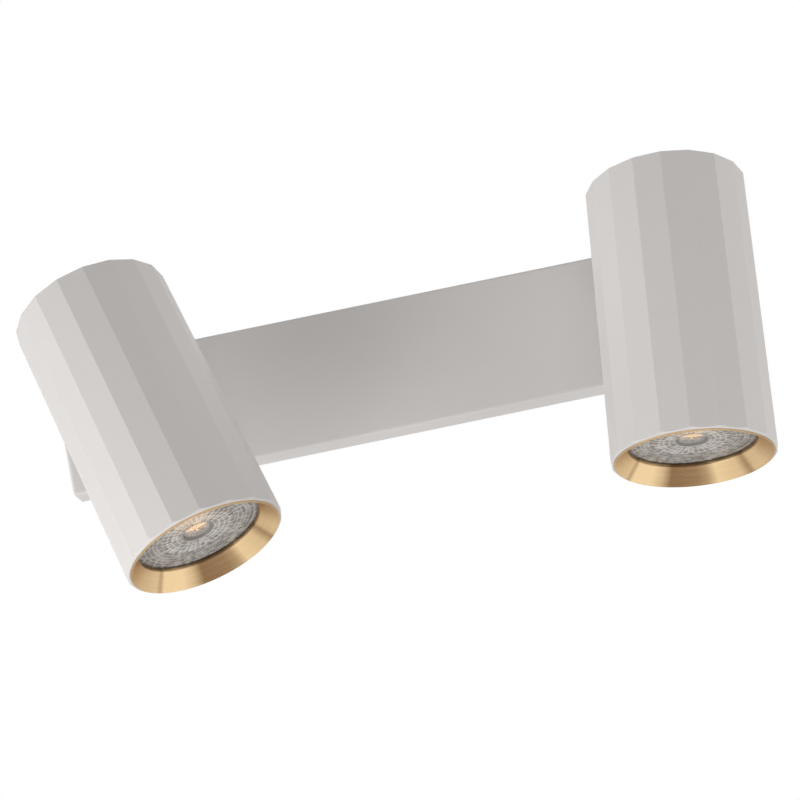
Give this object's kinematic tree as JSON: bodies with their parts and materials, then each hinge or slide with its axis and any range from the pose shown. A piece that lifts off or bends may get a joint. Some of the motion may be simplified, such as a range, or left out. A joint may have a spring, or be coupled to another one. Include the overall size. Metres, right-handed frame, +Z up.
{
  "type": "pivoting twin spotlight wall light",
  "caption": "Long slim canopy with facetted cylinder spot heads that swivel and tilt on hidden arms, each with a brass trim ring and a reflector lamp.",
  "frame": {"origin": "middle of the wall face, midway between the two wall screws", "axes": "+X along the canopy, +Y into the wall, +Z up"},
  "size_m": [0.2809, 0.1136, 0.1232],
  "materials": {
    "satin_paint": "satin off-white powder coat",
    "brushed_brass": "brushed, satin lacquer",
    "zinc_steel": "zinc plated",
    "brass_fittings": "plain, nickel-tinted",
    "nylon": "natural nylon",
    "grommet_rubber": "black rubber",
    "block_plastic": "moulded polyamide",
    "holder_ceramic": null,
    "lamp_shell": "moulded lamp shell",
    "lens_plastic": "clear moulded optic with small prisms",
    "chip_phosphor": "phosphor-coated emitter",
    "lead_insulation": "silicone insulation",
    "earth_insulation": "green and yellow insulation"
  },
  "bodies": {
    "root": {"canopy": "satin_paint", "wall_bracket": "zinc_steel", "canopy_screws": "zinc_steel", "cable_grommet": "grommet_rubber", "terminal_block": "block_plastic", "terminal_screws": "brass_fittings", "block_screws": "zinc_steel", "earth_tag": "brass_fittings", "earth_screw": "zinc_steel", "stop_pins": "zinc_steel", "earth_lead": "earth_insulation", "supply_leads_left": "lead_insulation", "supply_leads_right": "lead_insulation", "left_outer_washer": "nylon", "right_outer_washer": "nylon"},
    "left_swivel": {"left_swivel_arm": "satin_paint", "left_inner_washer": "nylon", "left_stop_washer": "zinc_steel", "left_spring_washer": "zinc_steel", "left_lock_nut": "zinc_steel", "left_arm_leads": "lead_insulation"},
    "left_head": {"left_facet_tube": "satin_paint", "left_rear_cap": "satin_paint", "left_cap_screws": "zinc_steel", "left_inner_bracket": "zinc_steel", "left_tilt_bolt": "zinc_steel", "left_tilt_nut": "zinc_steel", "left_tilt_washers": "nylon", "left_trim_ring": "brushed_brass", "left_lamp_holder": "holder_ceramic", "left_holder_screws": "zinc_steel", "left_lamp_body": "lamp_shell", "left_lamp_lens": "lens_plastic", "left_led_chip": "chip_phosphor", "left_lamp_pins": "brass_fittings", "left_head_leads": "lead_insulation"},
    "right_swivel": {"right_swivel_arm": "satin_paint", "right_inner_washer": "nylon", "right_stop_washer": "zinc_steel", "right_spring_washer": "zinc_steel", "right_lock_nut": "zinc_steel", "right_arm_leads": "lead_insulation"},
    "right_head": {"right_facet_tube": "satin_paint", "right_rear_cap": "satin_paint", "right_cap_screws": "zinc_steel", "right_inner_bracket": "zinc_steel", "right_tilt_bolt": "zinc_steel", "right_tilt_nut": "zinc_steel", "right_tilt_washers": "nylon", "right_trim_ring": "brushed_brass", "right_lamp_holder": "holder_ceramic", "right_holder_screws": "zinc_steel", "right_lamp_body": "lamp_shell", "right_lamp_lens": "lens_plastic", "right_led_chip": "chip_phosphor", "right_lamp_pins": "brass_fittings", "right_head_leads": "lead_insulation"}
  },
  "joints": [
    {"name": "left_swivel_turn", "type": "hinge", "parent": "root", "child": "left_swivel", "pos_m": [-0.104, -0.055, 0], "axis": [0, -1, 0], "range_deg": [-183.3, 152.7]},
    {"name": "left_head_tilt", "type": "hinge", "parent": "left_swivel", "child": "left_head", "pos_m": [-0.104, -0.055, 0], "axis": [-0.9646, 0, -0.2639], "range_deg": [-13.75, 76.25]},
    {"name": "right_swivel_turn", "type": "hinge", "parent": "root", "child": "right_swivel", "pos_m": [0.104, -0.055, 0], "axis": [0, -1, 0], "range_deg": [-159.2, 176.8]},
    {"name": "right_head_tilt", "type": "hinge", "parent": "right_swivel", "child": "right_head", "pos_m": [0.104, -0.055, 0], "axis": [-0.9882, 0, 0.153], "range_deg": [-10, 80]}
  ]
}
